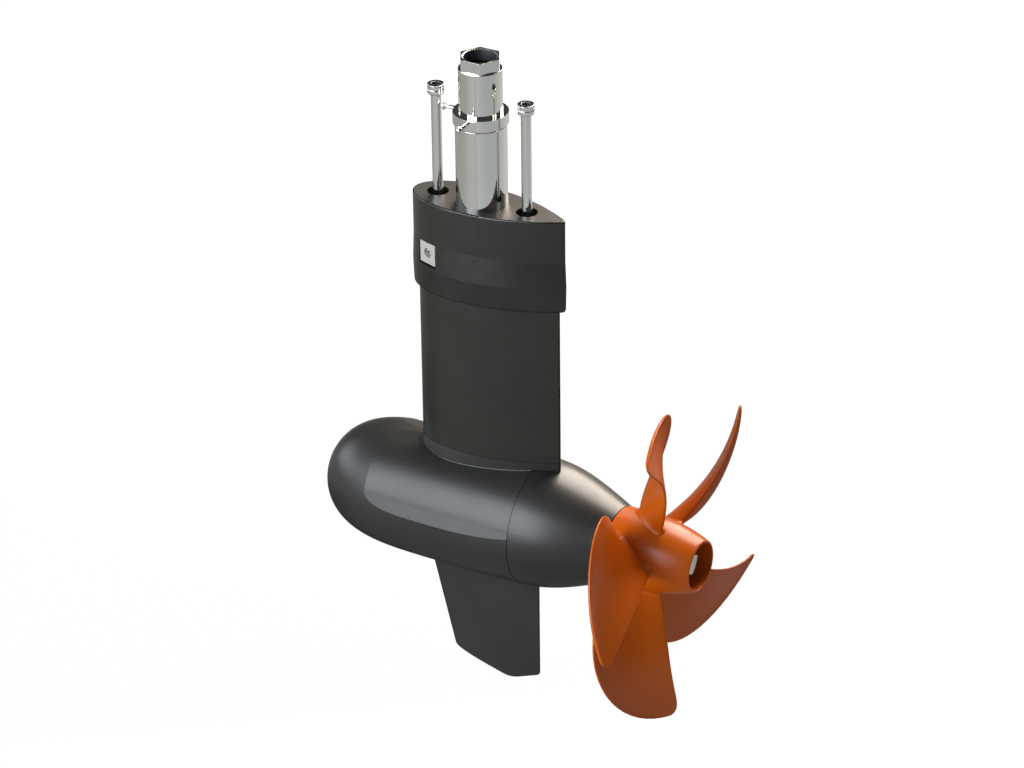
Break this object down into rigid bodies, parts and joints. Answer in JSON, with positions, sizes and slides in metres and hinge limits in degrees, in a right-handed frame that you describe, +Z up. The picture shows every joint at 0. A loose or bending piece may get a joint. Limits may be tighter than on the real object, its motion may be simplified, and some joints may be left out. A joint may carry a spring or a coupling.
{
  "type": "electric pod motor",
  "caption": "Through-hull electric pod drive: foil column, torpedo motor pod with skeg and a skewed multi-blade propeller.",
  "frame": {"origin": "stem axis on the hull seat, the flat top of the head block", "axes": "+X aft along the shaft, +Y starboard, +Z up along the stem"},
  "size_m": [0.413, 0.3089, 0.6691],
  "materials": {
    "bright_steel": "polished",
    "column_paint": "satin black paint on aluminium",
    "skirt_plastic": "satin black moulding",
    "pod_paint": "satin black paint on aluminium",
    "propeller_plastic": "satin orange glass-filled moulding",
    "anode_zinc": "matt zinc",
    "seal_rubber": "matt",
    "insert_brass": "machined",
    "core_steel": "laminated",
    "winding_copper": "enamelled copper",
    "bell_aluminium": "machined",
    "bearing_steel": "ground",
    "board_plastic": "coated circuit board"
  },
  "bodies": {
    "pod": {"stem_tube": "bright_steel", "stem_seal": "seal_rubber", "hull_sleeve": "bright_steel", "ring_nut": "bright_steel", "lock_screws": "bright_steel", "hull_bolts": "bright_steel", "bolt_inserts": "insert_brass", "head_block": "column_paint", "top_skirt": "skirt_plastic", "anode_plate": "anode_zinc", "anode_screw": "bright_steel", "strut_column": "column_paint", "column_screws": "bright_steel", "strut_gasket": "seal_rubber", "pod_housing": "pod_paint", "cable_gland": "insert_brass", "tail_cone": "pod_paint", "seam_seal": "seal_rubber", "skeg": "pod_paint", "skeg_screws": "bright_steel", "stator_core": "core_steel", "stator_windings": "winding_copper", "front_end_bell": "bell_aluminium", "front_bearing_outer": "bearing_steel", "rear_bearing_outer": "bearing_steel", "shaft_seal": "seal_rubber", "controller_board": "board_plastic", "board_posts": "bell_aluminium"},
    "rotor": {"motor_shaft": "bearing_steel", "rotor_core": "core_steel", "rotor_magnets": "core_steel", "front_bearing_inner": "bearing_steel", "rear_bearing_inner": "bearing_steel", "drive_pin": "bearing_steel", "propeller": "propeller_plastic", "prop_washer": "bright_steel", "prop_nut": "bright_steel"}
  },
  "joints": [
    {"name": "propeller_spin", "type": "hinge", "parent": "pod", "child": "rotor", "pos_m": [0.1504, 0, -0.3318], "axis": [1, 0, 0], "continuous": true}
  ]
}
